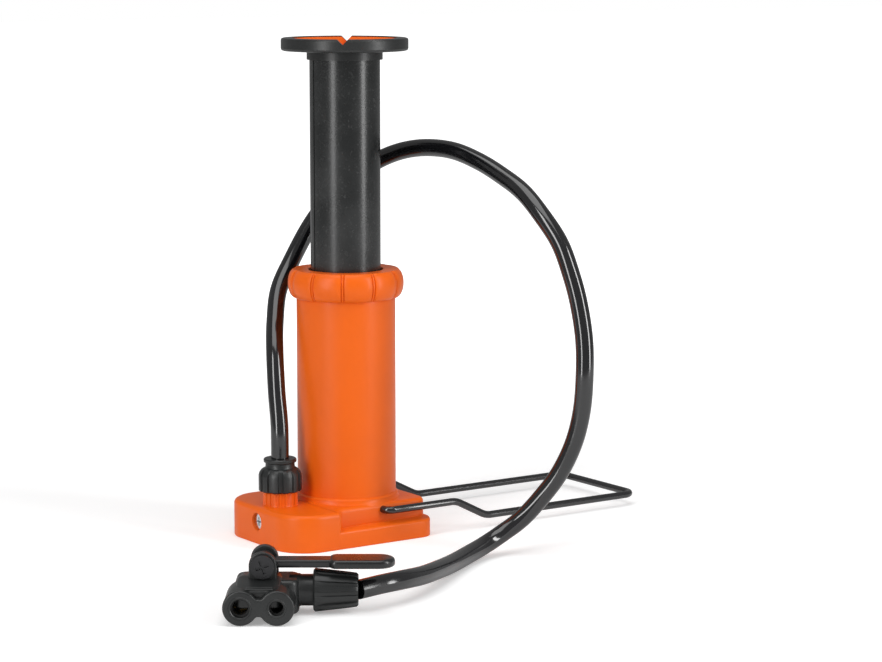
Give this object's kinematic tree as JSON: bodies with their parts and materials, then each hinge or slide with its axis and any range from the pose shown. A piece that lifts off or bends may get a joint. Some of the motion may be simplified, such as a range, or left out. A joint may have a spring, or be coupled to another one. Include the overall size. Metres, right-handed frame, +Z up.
{
  "type": "foot air pump",
  "caption": "Foot-operated air pump: round pad on a sprung plunger in an upright barrel, wire stirrup, hose and twin-socket valve head.",
  "frame": {"origin": "on the floor, under the barrel's axis", "axes": "+Z up along the barrel and plunger, +X from the hose outlet towards the stirrup, Y across the base"},
  "size_m": [0.3519, 0.225, 0.2814],
  "materials": {
    "orange_plastic": "smooth moulded orange plastic",
    "black_plastic": "satin moulded black plastic",
    "gloss_black": "polished black plastic",
    "tube_black": "fine satin black coating",
    "wire_black": "semi-gloss black coated wire",
    "rubber": "soft black rubber",
    "chrome": "bright plated",
    "steel": "plain steel",
    "brass": "turned brass",
    "pale_plastic": "self-lubricating pale plastic"
  },
  "bodies": {
    "base": {"pump_body": "orange_plastic", "collar_ring": "orange_plastic", "guide_bush": "pale_plastic", "air_plug_screw": "chrome", "plug_seal": "rubber", "check_valve": "rubber", "hose_spigot": "brass", "gland_seal": "rubber", "gland_nut": "black_plastic", "air_hose": "rubber", "head_body": "black_plastic", "head_face": "black_plastic", "schrader_grommet": "rubber", "presta_grommet": "rubber", "depressor_pin": "brass", "head_spigot": "brass", "head_nut": "black_plastic", "lever_pin": "steel"},
    "plunger": {"plunger_tube": "tube_black", "pedal_cap": "black_plastic", "pedal_insert": "orange_plastic", "piston_head": "black_plastic", "piston_seal": "rubber", "piston_washer": "steel", "piston_screw": "steel", "return_spring": "steel"},
    "stirrup": {"stirrup": "wire_black"},
    "lever": {"valve_lever": "gloss_black"}
  },
  "joints": [
    {"name": "plunger_slide", "type": "slide", "parent": "base", "child": "plunger", "axis": [0, 0, 1], "range_m": [-0.086, 0], "stiffness_N_per_m": 400, "springref_m": 0.05, "deforming": ["return_spring"]},
    {"name": "stirrup_fold", "type": "hinge", "parent": "base", "child": "stirrup", "pos_m": [0.0044, 0, 0.0175], "axis": [0, -1, 0], "range_deg": [0, 82]},
    {"name": "lever_flip", "type": "hinge", "parent": "base", "child": "lever", "pos_m": [-0.13618, -0.13584, 0.026], "axis": [-0.5664, -0.8241, 0], "range_deg": [0, 90]}
  ]
}
